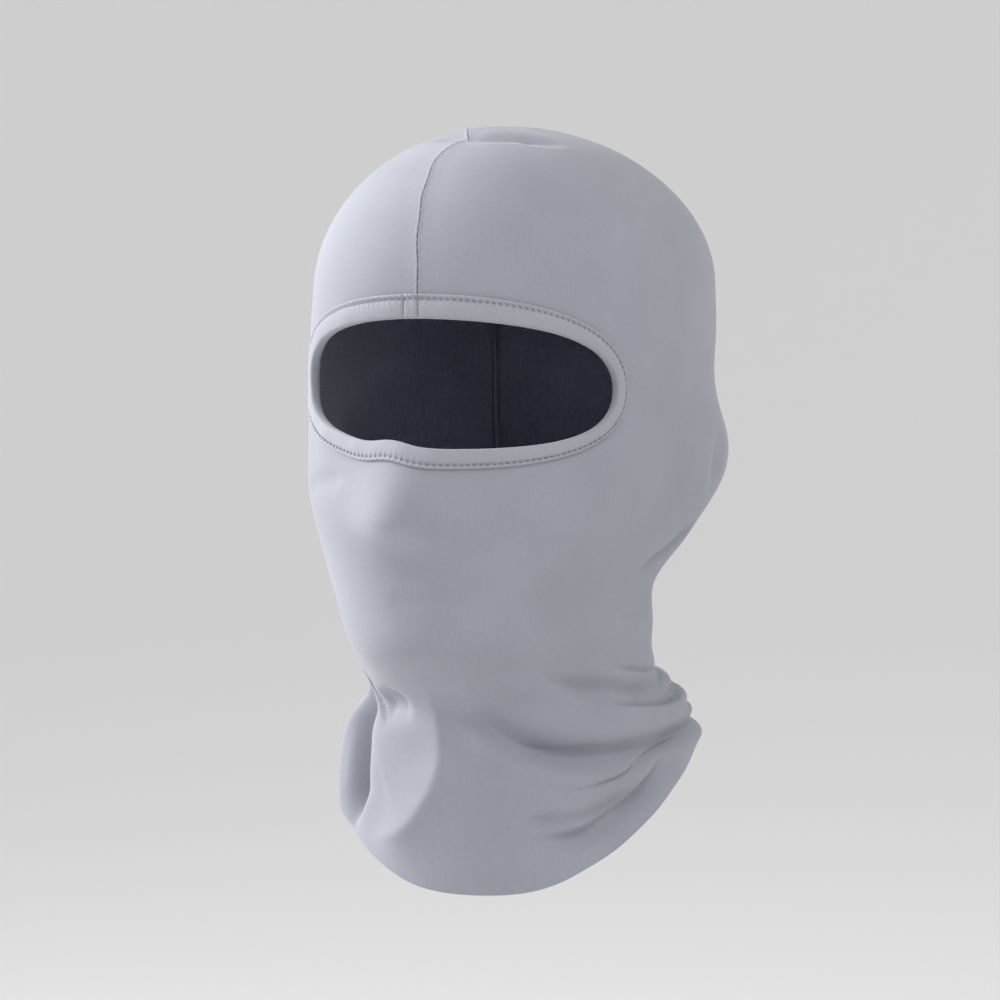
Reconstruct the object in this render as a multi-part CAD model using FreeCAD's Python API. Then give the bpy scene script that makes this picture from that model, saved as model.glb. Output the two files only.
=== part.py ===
import FreeCAD, Part
import math
import os

# Balaclava of knitted cloth, in mm, as it stands on an adult head.
# The wearer looks along -Y, the wearer's left is +X and up is +Z.
# Zero is the middle of the head at the height of the eyes.

# ---- head and neck under the cloth: height, half width, front, back, squareness, sideways
HEAD_STATIONS = (
    (32.0, 74.0, 103.0, 86.0, 2.25, 0.0),
    (14.0, 74.5, 104.0, 84.0, 2.30, 0.0),
    (-4.0, 73.5, 105.0, 81.0, 2.35, 0.0),
    (-28.0, 73.5, 107.0, 81.0, 2.40, 0.0),
    (-48.0, 72.5, 107.0, 80.0, 2.42, -0.3),
    (-68.0, 67.0, 105.0, 58.0, 2.32, -1.5),
    (-86.0, 58.5, 107.0, 34.0, 2.20, -3.2),
    (-102.0, 56.0, 107.0, 36.0, 2.10, -1.2),
    (-115.0, 54.0, 95.0, 47.0, 2.05, -0.6),
    (-128.0, 56.0, 82.0, 66.0, 2.00, 0.0),
    (-142.0, 66.0, 80.0, 81.0, 2.10, 0.8),
    (-158.0, 69.5, 82.0, 86.0, 2.10, 0.5),
    (-182.0, 70.5, 85.0, 82.0, 2.10, 0.0),
    (-216.0, 70.0, 86.0, 78.0, 2.10, 0.0),
)
CROWN_HEIGHT = 95.0
DOME_POWER = 2.0
CROWN_FORWARD = 14.0

# ---- bumps pushed into the cloth: height, reach, spread in degrees and in mm
NOSE_HEIGHT = -50.0
NOSE_REACH = 18.0
NOSE_ANGLE_SPREAD = 8.0
NOSE_RISE = 18.0
NOSE_DROP = 9.0
EAR_HEIGHT = -33.0
EAR_REACH = 9.0
EAR_ANGLE = 100.0
EAR_ANGLE_SPREAD = 13.0
EAR_RISE = 14.0
EAR_DROP = 17.0

# ---- cloth
FACE_PLY = 0.9
LINING_PLY = 0.8
GAP = 0.1
CLOTH = FACE_PLY + GAP + LINING_PLY

# ---- hem line: distance behind the front direction, height
HEM_LINE = (
    (-130.0, -205.0),
    (-85.0, -198.5),
    (-70.0, -189.0),
    (-50.0, -177.0),
    (-25.0, -164.0),
    (0.0, -154.0),
    (25.0, -150.0),
    (60.0, -147.0),
    (130.0, -145.0),
)
HEM_TURN = 15.0

# ---- eye opening, an oval round the face, measured in degrees across and in mm upwards
OPENING_CENTRE_ANGLE = 5.0
OPENING_CENTRE_Z = 1.5
OPENING_HALF_ANGLE = 41.0
OPENING_HALF_HEIGHT = 24.5
OPENING_SQUARENESS = 2.1
OPENING_TILT = 1.2
OPENING_DROOP = 3.8
FACE_RADIUS = 103.0

# ---- folded strip that binds the opening
BINDING_WIDTH = 8.0
BINDING_INNER_WIDTH = 7.0
BINDING_PLY = 1.0
BINDING_LIP = 0.3

# ---- middle seam, in an upright plane through the forehead, turned as the hood is worn twisted
SEAM_FRONT_Y = -103.0
SEAM_TURN = 13.5
GROOVE_DEPTH = 0.5
GROOVE_WIDTH = 1.0
ALLOWANCE_DEPTH = 4.0
ALLOWANCE_THICKNESS = 1.6
SEAM_CLEARANCE = 1.0

# ---- threads
THREAD = 0.2
THREAD_GAP = 0.15
STITCH_PITCH = 4.0
STITCH_SHARE = 0.6
BINDING_STITCHES = 90
BINDING_STITCH_AT = 6.2
BINDING_STITCH_LEAN = 1.1
NEEDLE_TURN_SHARE = 0.5
LOOPER_TURN_SHARE = 0.7

# ---- rows across the binding where its ends are joined, in degrees from straight ahead
JOIN_LINES = (-2.5, 0.5)
JOIN_STITCHES = 3
JOIN_START = 0.8
JOIN_PITCH = 1.8
JOIN_STITCH_LENGTH = 1.2

# ---- depths of the seam threads under the cloth, where each stitch starts and ends
NEEDLE_DEPTHS = (1.2, 1.2)
UPPER_LOOPER_DEPTHS = (2.2, 3.6)
LOWER_LOOPER_DEPTHS = (1.8, 3.6)

# ---- fineness of the curves
SECTION_POINTS = 72
OUTLINE_POINTS = 64
SECTION_STEP = 6.0
DOME_CLIMBS = (0, 12, 24, 36, 47, 57, 66, 74, 81, 86)
SEAM_CLIMBS = (10, 22, 34, 46, 56, 65)
HALVINGS = 40
FLOOR = -216.0
OUTSIDE = 200.0


def vector(x, y, z):
    return FreeCAD.Vector(x, y, z)


def bell(distance, spread):
    return math.exp(-0.5 * (distance / spread) ** 2)


def along(table, place, column):
    """Smooth value of one table column; the first column falls or rises steadily."""
    rows = sorted(table)
    place = min(max(place, rows[0][0]), rows[-1][0])
    last = len(rows) - 1
    i = max(k for k in range(last) if rows[k][0] <= place)

    def slope(k):
        before = rows[max(k - 1, 0)]
        after = rows[min(k + 1, last)]
        return (after[column] - before[column]) / (after[0] - before[0])

    span = rows[i + 1][0] - rows[i][0]
    t = (place - rows[i][0]) / span
    rise = rows[i + 1][column] - rows[i][column]
    bend_in = slope(i) * span - rise
    bend_out = rise - slope(i + 1) * span
    return rows[i][column] + t * rise + t * (1 - t) * ((1 - t) * bend_in + t * bend_out)


def nose(degrees, z):
    spread = NOSE_RISE if z > NOSE_HEIGHT else NOSE_DROP
    return NOSE_REACH * bell(degrees, NOSE_ANGLE_SPREAD) * bell(z - NOSE_HEIGHT, spread)


def ear(degrees, z):
    spread = EAR_RISE if z > EAR_HEIGHT else EAR_DROP
    return EAR_REACH * bell(abs(degrees) - EAR_ANGLE, EAR_ANGLE_SPREAD) * bell(z - EAR_HEIGHT, spread)


def head_point(angle, z, inset):
    """Point of the cloth surface moved inwards; angle 0 is the face, +90 the wearer's left."""
    widest = HEAD_STATIONS[0][0]
    top = CROWN_HEIGHT - inset
    climb = min(max((z - widest) / (top - widest), 0.0), 1.0)
    shrink = (1 - climb ** DOME_POWER) ** (1 / DOME_POWER)
    side = math.sin(angle)
    ahead = math.cos(angle)
    half_width = (along(HEAD_STATIONS, z, 1) - inset) * shrink
    length = (along(HEAD_STATIONS, z, 2 if ahead > 0 else 3) - inset) * shrink
    squareness = along(HEAD_STATIONS, z, 4)
    squareness += (2.0 - squareness) * climb
    if shrink < 1e-6:
        return vector(0, -CROWN_FORWARD, top)
    spread = abs(side / half_width) ** squareness + abs(ahead / length) ** squareness
    radius = spread ** (-1 / squareness)
    degrees = math.degrees(math.atan2(side, ahead))
    radius += nose(degrees, z) + ear(degrees, z)
    sideways = along(HEAD_STATIONS, z, 5)
    return vector(sideways + radius * side, -CROWN_FORWARD * climb ** 2 - radius * ahead, z)


def spline(points, closed=False):
    """Smooth curve through points, evenly spaced in its parameter so that curves match."""
    spans = len(points) if closed else len(points) - 1
    curve = Part.BSplineCurve()
    curve.interpolate(Points=points, PeriodicFlag=closed, Parameters=[k / spans for k in range(spans + 1)])
    return curve.toShape()


def dome_heights(inset, climbs):
    """Heights on the dome, given as degrees of climb from its foot to the crown."""
    widest = HEAD_STATIONS[0][0]
    rise = CROWN_HEIGHT - inset - widest
    return [widest + rise * math.sin(math.radians(climb)) for climb in climbs]


def section_heights(inset):
    """Even steps up to the widest height, then closer ones up the dome."""
    widest = HEAD_STATIONS[0][0]
    steps = round((widest - FLOOR) / SECTION_STEP)
    heights = [FLOOR + (widest - FLOOR) * k / steps for k in range(steps)]
    return heights + dome_heights(inset, DOME_CLIMBS)


def section_angles():
    """Angles round a section; each starts at the wearer's left, clear of the seam and the opening."""
    return [2 * math.pi * (k / SECTION_POINTS + 0.25) for k in range(SECTION_POINTS)]


def head_solid(inset):
    """Everything inside the cloth surface, moved inwards by an inset."""
    rings = []
    for z in section_heights(inset):
        ring = [head_point(angle, z, inset) for angle in section_angles()]
        rings.append(Part.Wire(spline(ring, closed=True)))
    rings.append(Part.Vertex(head_point(0.0, CROWN_HEIGHT - inset, inset)))
    return Part.makeLoft(rings, True, False)


def below_hem():
    """Solid that removes everything under the hem line."""
    line = spline([vector(-OUTSIDE, y, z) for y, z in HEM_LINE])
    low = FLOOR - OUTSIDE
    first = vector(-OUTSIDE, HEM_LINE[0][0], low)
    last = vector(-OUTSIDE, HEM_LINE[-1][0], low)
    sides = [
        Part.makeLine(line.Vertexes[-1].Point, last),
        Part.makeLine(last, first),
        Part.makeLine(first, line.Vertexes[0].Point),
    ]
    block = Part.Face(Part.Wire([line] + sides)).extrude(vector(2 * OUTSIDE, 0, 0))
    block.rotate(vector(0, 0, 0), vector(0, 0, 1), HEM_TURN)
    return block


def opening_point(turn, outwards, inset):
    """Point near the opening's rim: moved away from its centre along the cloth, and inwards."""
    power = 2 / OPENING_SQUARENESS
    across = math.copysign(abs(math.cos(turn)) ** power, math.cos(turn))
    upwards = math.copysign(abs(math.sin(turn)) ** power, math.sin(turn))
    centre = math.radians(OPENING_CENTRE_ANGLE)
    half = math.radians(OPENING_HALF_ANGLE) + outwards / FACE_RADIUS
    z = OPENING_CENTRE_Z + (OPENING_HALF_HEIGHT + outwards) * upwards
    z -= OPENING_TILT * across + OPENING_DROOP * across ** 2
    return head_point(centre + half * across, z, inset)


def opening_turns(count):
    return [2 * math.pi * (k + 0.5) / count for k in range(count)]


def opening_block():
    """Solid that goes through the front of the cloth at the eye opening."""
    rim = []
    for turn in opening_turns(OUTLINE_POINTS):
        point = opening_point(turn, 0.0, 0.0)
        rim.append(vector(point.x, -OUTSIDE, point.z))
    face = Part.Face(Part.Wire(spline(rim, closed=True)))
    return face.extrude(vector(0, OUTSIDE, 0))


def cloth_layer(outer_inset, inner_inset):
    """One ply of cloth between two insets, cut at the hem and at the eye opening."""
    layer = head_solid(outer_inset).cut(head_solid(inner_inset))
    return layer.cut(below_hem()).cut(opening_block())


def seam_point(z, inset, ahead):
    """Point of the seam plane on the cloth surface, at the front or at the back."""
    turn = math.radians(SEAM_TURN)
    middle = 0.0 if ahead else math.pi + turn
    low = middle - math.pi / 3
    high = middle + math.pi / 3
    for _ in range(HALVINGS):
        angle = (low + high) / 2
        point = head_point(angle, z, inset)
        off_plane = point.x * math.cos(turn) + (point.y - SEAM_FRONT_Y) * math.sin(turn)
        if (off_plane > 0) == ahead:
            high = angle
        else:
            low = angle
    return head_point(angle, z, inset)


def middle_line(inset):
    """Points of the middle seam: up the forehead, over the crown, down the back."""
    start = OPENING_CENTRE_Z + OPENING_HALF_HEIGHT + BINDING_WIDTH + SEAM_CLEARANCE
    widest = HEAD_STATIONS[0][0]
    dome = dome_heights(inset, SEAM_CLIMBS)
    front = [seam_point(z, inset, True) for z in [start] + dome if z >= start]
    back = [seam_point(z, inset, False) for z in reversed(dome)]
    steps = range(0, int(widest - FLOOR), int(SECTION_STEP))
    back += [seam_point(widest - drop, inset, False) for drop in steps]
    return front + back


def middle_strip(outer_inset, inner_inset, width):
    """Strip that stands in the seam plane between two insets of the cloth."""
    turn = math.radians(SEAM_TURN)
    across = vector(math.cos(turn), math.sin(turn), 0)
    outer = spline(middle_line(outer_inset))
    inner = spline(middle_line(inner_inset))
    ends = [Part.makeLine(outer.Vertexes[k].Point, inner.Vertexes[k].Point) for k in (0, -1)]
    strip = Part.Face(Part.Wire([outer, ends[1], inner, ends[0]]))
    strip.translate(across * (-width / 2))
    return strip.extrude(across * width)


def seam_allowance():
    """The doubled, sewn edges of both plies, standing inwards along the middle seam."""
    strip = middle_strip(CLOTH + GAP, CLOTH + ALLOWANCE_DEPTH, ALLOWANCE_THICKNESS)
    return strip.cut(below_hem())


def binding():
    """Strip folded over the cloth edge: eight long edges joined by eight faces."""
    lip = -BINDING_LIP
    fold = -BINDING_LIP - BINDING_PLY
    corners = (
        (fold, -GAP - BINDING_PLY),
        (BINDING_WIDTH, -GAP - BINDING_PLY),
        (BINDING_WIDTH, -GAP),
        (lip, -GAP),
        (lip, CLOTH + GAP),
        (BINDING_INNER_WIDTH, CLOTH + GAP),
        (BINDING_INNER_WIDTH, CLOTH + GAP + BINDING_PLY),
        (fold, CLOTH + GAP + BINDING_PLY),
    )
    edges = []
    for outwards, inset in corners:
        loop = [opening_point(turn, outwards, inset) for turn in opening_turns(OUTLINE_POINTS)]
        edges.append(spline(loop, closed=True))
    faces = [Part.makeRuledSurface(edges[k - 1], edges[k]) for k in range(len(edges))]
    shell = Part.Shell(faces)
    shell.sewShape()
    return Part.Solid(shell)


def stitch(start, end):
    """One visible length of sewing thread."""
    run = end - start
    return Part.makeCylinder(THREAD, run.Length, start, run)


def binding_needle_thread():
    """Slanting stitches that show on the outside of the binding."""
    height = -GAP - BINDING_PLY - THREAD_GAP - THREAD
    turn_step = 2 * math.pi / BINDING_STITCHES
    stitches = []
    for turn in opening_turns(BINDING_STITCHES):
        start = opening_point(turn, BINDING_STITCH_AT, height)
        finish = turn + NEEDLE_TURN_SHARE * turn_step
        end = opening_point(finish, BINDING_STITCH_AT + BINDING_STITCH_LEAN, height)
        stitches.append(stitch(start, end))
    return Part.makeCompound(stitches)


def binding_looper_thread():
    """Zigzag on the inside of the binding that holds the needle thread."""
    depth = CLOTH + GAP + BINDING_PLY + THREAD_GAP + THREAD
    turn_step = 2 * math.pi / BINDING_STITCHES
    near = BINDING_STITCH_AT - 2 * BINDING_STITCH_LEAN
    stitches = []
    for turn in opening_turns(BINDING_STITCHES):
        start = opening_point(turn, near, depth)
        end = opening_point(turn + LOOPER_TURN_SHARE * turn_step, BINDING_STITCH_AT, depth)
        stitches.append(stitch(start, end))
    return Part.makeCompound(stitches)


def binding_join_thread():
    """Two short rows of stitches that close the ends of the binding strip."""
    height = -GAP - BINDING_PLY - THREAD_GAP - THREAD
    rim = OPENING_CENTRE_Z + OPENING_HALF_HEIGHT
    stitches = []
    for degrees in JOIN_LINES:
        angle = math.radians(degrees)
        for step in range(JOIN_STITCHES):
            low = rim + JOIN_START + JOIN_PITCH * step
            start = head_point(angle, low, height)
            end = head_point(angle, low + JOIN_STITCH_LENGTH, height)
            stitches.append(stitch(start, end))
    return Part.makeCompound(stitches)


def seam_places(inset):
    """Evenly spaced points along the middle seam, from the forehead to the nape hem."""
    line = spline(middle_line(inset))
    places = line.discretize(Number=int(line.Length / STITCH_PITCH))
    lowest = along(HEM_LINE, HEAD_STATIONS[0][3], 1) + STITCH_PITCH
    return [place for place in places if place.z > lowest]


def seam_row(depths, side):
    """Slanting stitches along one side of the seam allowance."""
    start_depth, end_depth = depths
    turn = math.radians(SEAM_TURN)
    away = ALLOWANCE_THICKNESS / 2 + THREAD_GAP + THREAD
    shift = vector(math.cos(turn), math.sin(turn), 0) * (side * away)
    starts = seam_places(CLOTH + start_depth)
    ends = seam_places(CLOTH + end_depth)
    stitches = []
    for start, end in zip(starts[:-1], ends[1:]):
        finish = start + (end - start) * STITCH_SHARE
        stitches.append(stitch(start + shift, finish + shift))
    return Part.makeCompound(stitches)


def seam_needle_thread():
    """Straight stitches close under the cloth, which hold the seam shut."""
    return seam_row(NEEDLE_DEPTHS, 1)


def seam_upper_looper_thread():
    """Slanting stitches over the cut edge, on the wearer's left of the allowance."""
    return seam_row(UPPER_LOOPER_DEPTHS, 1)


def seam_lower_looper_thread():
    """Slanting stitches over the cut edge, on the wearer's right of the allowance."""
    return seam_row(LOWER_LOOPER_DEPTHS, -1)


def hood_shell():
    """Outer ply of pale knitted cloth, grooved along the middle seam."""
    return cloth_layer(0.0, FACE_PLY).cut(middle_strip(-GROOVE_DEPTH, GROOVE_DEPTH, GROOVE_WIDTH))


def hood_lining():
    """Dark inner ply."""
    return cloth_layer(FACE_PLY + GAP, CLOTH)


NODES = {
    "hood_shell": hood_shell,
    "hood_lining": hood_lining,
    "seam_allowance": seam_allowance,
    "eye_binding": binding,
    "binding_needle_thread": binding_needle_thread,
    "binding_looper_thread": binding_looper_thread,
    "binding_join_thread": binding_join_thread,
    "seam_needle_thread": seam_needle_thread,
    "seam_upper_looper_thread": seam_upper_looper_thread,
    "seam_lower_looper_thread": seam_lower_looper_thread,
}

os.makedirs("parts", exist_ok=True)
for name, build in NODES.items():
    build().exportStep("parts/" + name + ".step")
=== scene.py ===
import math

import bpy
import numpy as np
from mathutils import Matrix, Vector


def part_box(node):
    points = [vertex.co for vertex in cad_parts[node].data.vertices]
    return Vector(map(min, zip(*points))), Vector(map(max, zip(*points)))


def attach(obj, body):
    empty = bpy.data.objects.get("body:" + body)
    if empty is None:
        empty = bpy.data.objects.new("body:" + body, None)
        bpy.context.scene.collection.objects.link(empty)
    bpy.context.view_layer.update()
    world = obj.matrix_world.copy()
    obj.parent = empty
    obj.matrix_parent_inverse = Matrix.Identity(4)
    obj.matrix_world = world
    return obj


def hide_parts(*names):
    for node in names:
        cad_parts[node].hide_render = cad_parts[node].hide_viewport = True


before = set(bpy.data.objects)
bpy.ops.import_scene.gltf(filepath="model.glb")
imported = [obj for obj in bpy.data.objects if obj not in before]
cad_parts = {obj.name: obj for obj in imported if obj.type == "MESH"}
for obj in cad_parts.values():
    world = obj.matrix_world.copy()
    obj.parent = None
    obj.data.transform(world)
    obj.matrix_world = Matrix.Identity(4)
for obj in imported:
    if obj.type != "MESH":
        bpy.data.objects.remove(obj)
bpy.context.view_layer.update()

# Looks of a knitted balaclava, worn slightly twisted on a head-shaped form.
# The cloth is worked out in mm, and MM turns it into the scene's metres. Depths in the materials,
# the stage, the lights and the camera are in metres.
# The wearer looks along -Y, the wearer's left is +X and up is +Z.
MM = 0.001

# ---- head and neck under the cloth: height, half width, front, back, squareness, sideways
HEAD_STATIONS = np.array(
    (
        (-216.0, 70.0, 86.0, 78.0, 2.10, 0.0),
        (-182.0, 70.5, 85.0, 82.0, 2.10, 0.0),
        (-158.0, 69.5, 82.0, 86.0, 2.10, 0.5),
        (-142.0, 66.0, 80.0, 81.0, 2.10, 0.8),
        (-128.0, 56.0, 82.0, 66.0, 2.00, 0.0),
        (-115.0, 54.0, 95.0, 47.0, 2.05, -0.6),
        (-102.0, 56.0, 107.0, 36.0, 2.10, -1.2),
        (-86.0, 58.5, 107.0, 34.0, 2.20, -3.2),
        (-68.0, 67.0, 105.0, 58.0, 2.32, -1.5),
        (-48.0, 72.5, 107.0, 80.0, 2.42, -0.3),
        (-28.0, 73.5, 107.0, 81.0, 2.40, 0.0),
        (-4.0, 73.5, 105.0, 81.0, 2.35, 0.0),
        (14.0, 74.5, 104.0, 84.0, 2.30, 0.0),
        (32.0, 74.0, 103.0, 86.0, 2.25, 0.0),
    )
)

# ---- dome over the top station: its foot, its top, its roundness and how far its top leans ahead
DOME_FOOT = 32.0
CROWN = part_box("hood_shell")[1].z / MM
DOME_POWER = 2.0
CROWN_FORWARD = 14.0

# ---- bumps pushed into the cloth: height, reach, spread in degrees, rise, drop
NOSE = (-50.0, 17.0, 8.0, 20.0, 9.0)
EAR = (-33.0, 9.0, 13.0, 14.0, 17.0)
EAR_ANGLE = 100.0

# ---- cloth: both plies together, the outer ply, and how far its cut edge lies under the binding
CLOTH = 1.8
PLY = 0.9
CLOTH_CUT = 3.2

# ---- height below which the cloth grows loose, and the drop over which it does
LOOSE_TOP = -95.0
LOOSE_DROP = 60.0

# ---- hem: distance behind the middle of the head, height
HEM_LINE = np.array(
    (
        (-130.0, -205.0),
        (-85.0, -198.5),
        (-70.0, -189.0),
        (-50.0, -177.0),
        (-25.0, -164.0),
        (0.0, -154.0),
        (25.0, -150.0),
        (60.0, -147.0),
        (130.0, -145.0),
    )
)
HEM_TURN = math.radians(15.0)

# ---- eye opening, an oval round the face in degrees across and in mm upwards. The radius turns
# mm across the face into angles, and the rim has a small peak over the nose.
OPENING_CENTRE_ANGLE = math.radians(5.0)
OPENING_CENTRE_Z = 1.5
OPENING_HALF_ANGLE = math.radians(41.0)
OPENING_HALF_HEIGHT = 24.5
OPENING_SQUARENESS = 2.1
OPENING_TILT = 1.2
OPENING_DROOP = 3.8
FACE_RADIUS = 103.0
NOSE_PEAK = 2.2
NOSE_PEAK_ANGLE = -3.0
NOSE_PEAK_SPREAD = 3.5

# ---- binding: its width, and the shares by which it is narrower on the wearer's left and below
BINDING_WIDTH = 8.0
NARROWER_LEFT = 0.33
NARROWER_BELOW = 0.2

# ---- binding's cross-section, from the rim over the outside, back along the cloth, round its
# cut edge and over the inside: distance outwards from the rim, height over the cloth
STITCH_ROW = 6.3
BINDING_PROFILE = (
    (-1.3, 0.2),
    (-1.1, 0.75),
    (-0.4, 1.15),
    (0.8, 1.35),
    (2.4, 1.45),
    (4.0, 1.4),
    (5.2, 1.15),
    (5.9, 0.72),
    (STITCH_ROW, 0.55),
    (6.7, 0.75),
    (7.3, 1.1),
    (7.8, 1.05),
    (8.1, 0.6),
    (8.1, 0.05),
    (6.0, 0.02),
    (-0.2, 0.02),
    (-0.2, -1.9),
    (6.5, -1.9),
    (7.0, -2.3),
    (6.5, -2.8),
    (1.0, -2.9),
    (-0.6, -2.6),
    (-1.2, -1.6),
    (-1.35, -0.6),
)
BINDING_COLUMNS = 1200

# ---- relief of the binding: puckers along the stitch row, slow waves on the strip's middle, and
# the grooves on both sides of the raised join
PUCKER_DEPTH = 0.14
PUCKER_SPREAD = 1.1
STRIP_MIDDLE = 3.0
STRIP_SPREAD = 2.5
JOIN_RISE = 0.18
JOIN_GROOVES = (0.55, 0.65)
JOIN_SPREAD = 0.4

# ---- one stitch: share of its length and of its radius at each ring, and points in a ring
STITCH_SHAPE = ((-0.02, 0.35), (0.1, 0.85), (0.5, 1.0), (0.9, 0.85), (1.02, 0.35))
STITCH_SIDES = 7

# ---- stitches of the binding: start and end beside the row, height over the cloth, radius
BINDING_STITCHES = 150
NEEDLE_ENDS = (-0.35, 0.3)
NEEDLE_LIFT = 0.92
NEEDLE_RADIUS = 0.17
LOOPER_ENDS = (-2.4, -0.6)
LOOPER_LIFT = -3.1
LOOPER_RADIUS = 0.18

# ---- two short stitch rows across the binding where its ends meet; their lean is in degrees
JOIN_ANGLES = (-2.7, 0.5)
JOIN_STITCHES = 4
JOIN_START = 0.4
JOIN_PITCH = 1.6
JOIN_LENGTH = 1.1
JOIN_LEAN = 0.07
JOIN_LIFT = 1.1
JOIN_RADIUS = 0.15

# ---- middle seam, which leans to the wearer's right as it runs back: y and x seen from above
SEAM_COURSE = np.array(
    (
        (-103.0, 0.9),
        (-95.0, -2.3),
        (-85.0, -4.8),
        (-67.0, -6.2),
        (-59.0, -5.0),
        (-52.0, -2.0),
        (-44.0, -4.5),
        (-16.0, -15.9),
        (30.0, -29.0),
        (70.0, -41.5),
        (95.0, -47.0),
    )
)
SEAM_BACK = math.radians(13.5)
SEAM_START = OPENING_CENTRE_Z + OPENING_HALF_HEIGHT + BINDING_WIDTH - 0.6
SEAM_SHOULDER = 75.0
SEAM_FOOT = -160.0
SEAM_HEM_GAP = 0.4
SEAM_BULGE = 0.4
SEAM_BULGE_WIDTH = 3.6

# ---- across the seam: distance to one side, height over the cloth
SEAM_LIP = ((1.7, -0.12), (1.3, 0.02), (0.9, 0.1), (0.55, 0.17), (0.3, 0.12))
SEAM_GROOVE = 0.04
ALLOWANCE_ROOT = -1.7
ALLOWANCE_SIDE = ((0.8, ALLOWANCE_ROOT), (0.85, -3.8), (0.7, -5.6))
ALLOWANCE_EDGE = -5.9

# ---- puckers of the lips: lengths along the seam and depth; and the waving of the allowance,
# which is full at a depth below its root
LIP_PUCKER = 3.3
LONG_PUCKER = 7.9
LIP_PUCKER_DEPTH = 0.07
FULL_SWAY_DEPTH = 4.0

# ---- threads of the seam: height over the cloth, radius, and how far the loopers lie to a side
SEAM_NEEDLE_LIFT = 0.05
SEAM_NEEDLE_RADIUS = 0.13
SEAM_LOOPER_SIDE = 0.98
SEAM_LOOPER_LIFTS = (-2.6, -5.2)
SEAM_LOOPER_RADIUS = 0.17

# ---- places worked out along the seam for its lips, stitches, allowance and loopers
LIP_PLACES = 1600
NEEDLE_PLACES = 560
ALLOWANCE_PLACES = 500
LOOPER_PLACES = 300

# ---- fineness of the cloth; the lining has a share of the rows and columns
COLUMNS = 420
DOME_ROWS = 44
FACE_ROWS = 56
NECK_ROWS = 118
NECK_TOP = -88.0
FIRST_ROW = 88.5  # degrees up the dome
DENSE_ANGLE = -15.0  # degrees, where the columns lie closest
DENSE_SPREAD = 22.0
DENSE_EXTRA = 0.9
LINING_FINENESS = 0.5

# ---- folds pressed into the cloth. Each has a kind, a depth or height, half widths on its two
# sides (above and below it, or to the wearer's left and right), and the places it runs through
# as angle, height. A corner is a ridge with a rounded crest and straight flanks, and a dimple is
# a hollow with round ends.
FOLDS = (
    # long soft valley from under the chin to the nape, and the ridge below it
    (
        "valley", 10.5, 9.0, 5.0,
        ((5, -126), (15, -136), (22, -141), (32, -145), (44, -147), (62, -147), (124, -147)),
    ),
    (
        "ridge", 3.0, 4.0, 5.5,
        ((3, -128), (11, -139), (18, -146), (28, -151), (40, -156), (54, -157)),
    ),
    # thin creases and soft valleys that run into the nape
    (
        "crease", 3.4, 1.0, 2.8,
        ((30, -159), (42, -158), (55, -156), (70, -151), (90, -149), (120, -147)),
    ),
    ("valley", 3.6, 3.5, 2.5, ((20, -170), (37, -171), (47, -168), (62, -161))),
    (
        "valley", 7.0, 4.5, 4.5,
        ((22, -177), (40, -178), (50, -173), (63, -166), (78, -158), (100, -152)),
    ),
    ("crease", 5.0, 2.4, 0.9, ((54, -129), (78, -131), (106, -134), (150, -136))),
    ("valley", 3.4, 4.0, 3.0, ((24, -112), (42, -121), (64, -125), (99, -129), (150, -129))),
    ("crease", 2.0, 1.5, 3.0, ((54, -114), (74, -118), (102, -122), (150, -123))),
    ("crease", 0.9, 2.0, 2.0, ((60, -95), (88, -97))),
    # ruched rolls at the nape, with a deep notch above the lowest
    ("roll", 3.0, 2.6, 2.6, ((84, -128), (106, -130), (150, -130), (210, -130), (255, -127))),
    ("roll", 2.6, 2.5, 2.5, ((84, -134), (106, -136), (150, -136), (215, -136), (262, -133))),
    ("valley", 4.5, 5.0, 3.0, ((78, -143), (100, -145), (150, -145), (215, -145), (266, -142))),
    ("roll", 2.2, 2.4, 2.4, ((90, -141), (107, -141), (150, -142), (210, -142), (268, -139))),
    ("roll", 1.4, 3.4, 3.4, ((96, -150), (112, -150), (150, -150), (205, -150), (262, -153))),
    # bib below the chin: its flat panel ends in a deep fold on the wearer's right, with a rim
    ("valley", 12.0, 9.0, 5.5, ((-37, -118), (-39, -136), (-37, -152), (-35, -166), (-32, -181))),
    (
        "ridge", 1.6, 3.5, 4.5,
        ((-42, -122), (-48, -138), (-48, -152), (-45, -166), (-38, -180), (-26, -193)),
    ),
    (
        "corner", 4.6, 8.0, 9.0,
        ((-1, -116), (0, -130), (0, -150), (-3, -163), (-10, -176), (-24, -182)),
    ),
    # hollow under the chin and the small hooked fold beside it
    ("dimple", 4.6, 5.5, 5.5, ((-20, -129), (-14, -127))),
    ("crease", 3.4, 2.2, 0.8, ((-27, -114), (-30, -122), (-28, -128), (-22, -135))),
    # faint relief over the mouth and on the far cheek
    ("valley", 0.8, 3.0, 2.0, ((-6, -82), (4, -83), (16, -81))),
    ("valley", 1.2, 3.0, 4.0, ((-38, -46), (-26, -40), (-15, -36))),
    # hollow of the ear, and the fold under it
    ("valley", 2.6, 4.0, 4.0, ((97, -26), (95, -36), (96, -46))),
    ("valley", 3.2, 3.6, 2.6, ((108, -60), (95, -67), (84, -73), (68, -78))),
    # the cloth buckles across the crown where the seam turns over it
    ("valley", 3.6, 6.0, 2.4, ((-46, 90.5), (0, 91), (24, 91), (64, 88))),
)


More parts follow.
